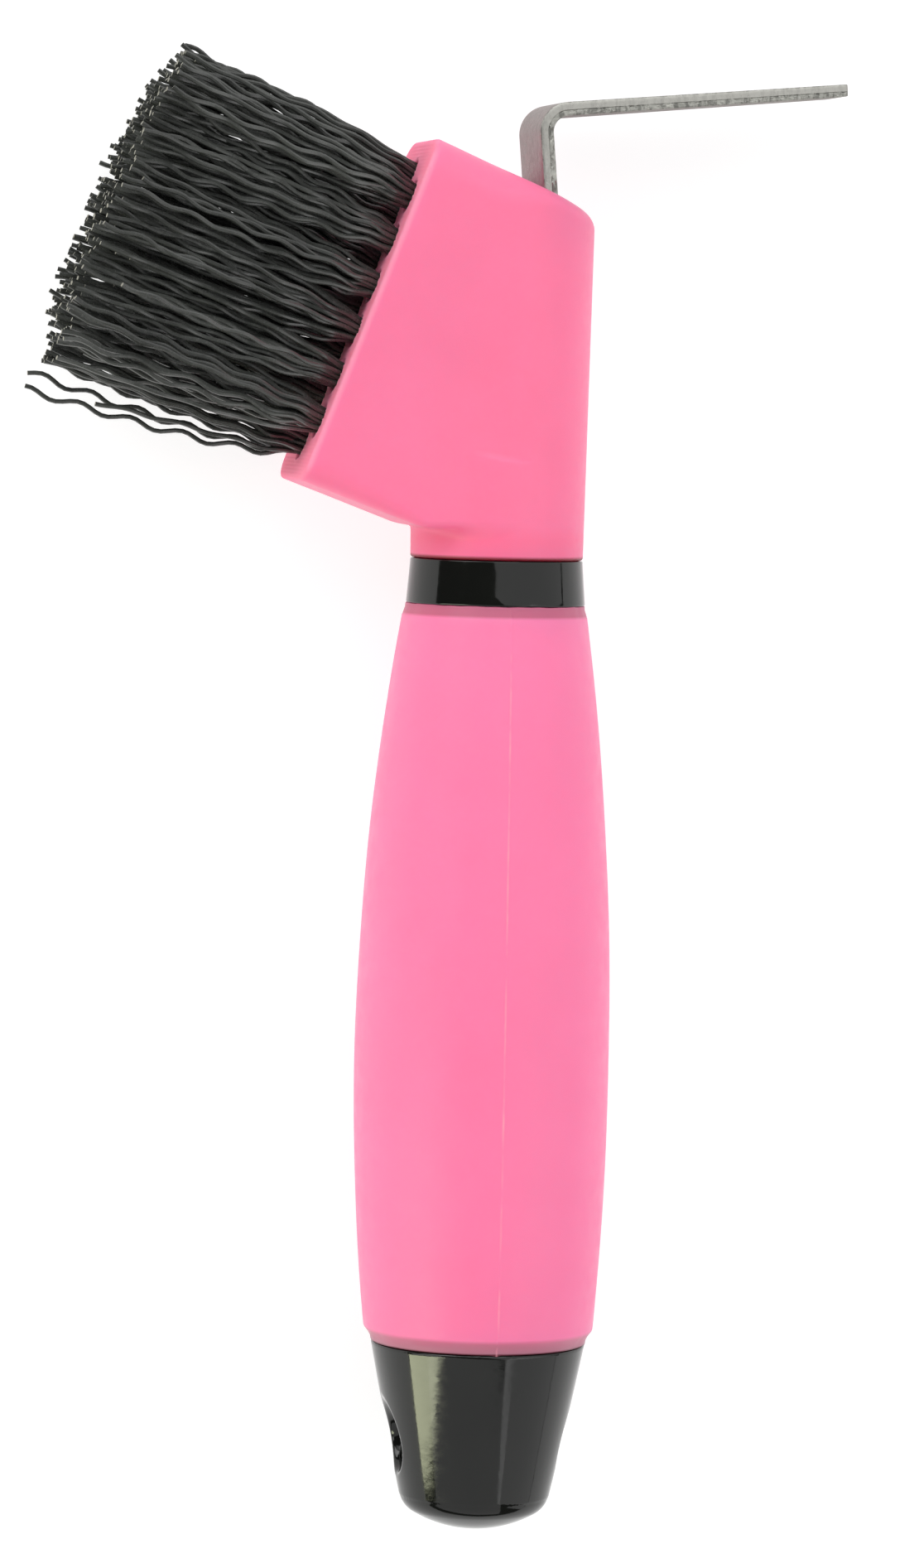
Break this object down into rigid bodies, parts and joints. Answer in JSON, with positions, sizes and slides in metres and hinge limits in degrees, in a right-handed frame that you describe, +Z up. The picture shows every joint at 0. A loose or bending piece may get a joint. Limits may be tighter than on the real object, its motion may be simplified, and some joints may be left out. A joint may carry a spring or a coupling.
{
  "type": "hoof pick",
  "caption": "Hoof pick with a bent flat-steel hook, a slanted stable brush of crimped bristle tufts and a gel grip with an end cap that has a hang hole.",
  "frame": {"origin": "centre of the hang hole in the end cap", "axes": "+Y along the handle from the cap to the head, +X towards the hook and away from the brush, +Z up from the table that the tool lies on, which it touches with the grip's belly, the head's side and the brush"},
  "size_m": [0.0967, 0.1798, 0.0314],
  "materials": {
    "head_plastic": "satin moulded hot pink",
    "gel": "soft translucent pink gel",
    "black_plastic": "glossy moulded black",
    "zinc_steel": "bright zinc plate with sheared edges",
    "bristle": "satin crimped filament",
    "anchor_steel": "bright wire plate"
  },
  "bodies": {
    "root": {"head_and_core": "head_plastic", "hook": "zinc_steel", "collar": "black_plastic", "gel_grip": "gel", "end_cap": "black_plastic", "tuft_anchors": "anchor_steel", "tuft_near_1": "bristle", "tuft_near_2": "bristle", "tuft_near_3": "bristle", "tuft_near_4": "bristle", "tuft_near_5": "bristle", "tuft_near_6": "bristle", "tuft_mid_1": "bristle", "tuft_mid_2": "bristle", "tuft_mid_3": "bristle", "tuft_mid_4": "bristle", "tuft_mid_5": "bristle", "tuft_mid_6": "bristle", "tuft_mid_7": "bristle", "tuft_far_1": "bristle", "tuft_far_2": "bristle", "tuft_far_3": "bristle", "tuft_far_4": "bristle", "tuft_far_5": "bristle", "tuft_far_6": "bristle"}
  },
  "joints": []
}
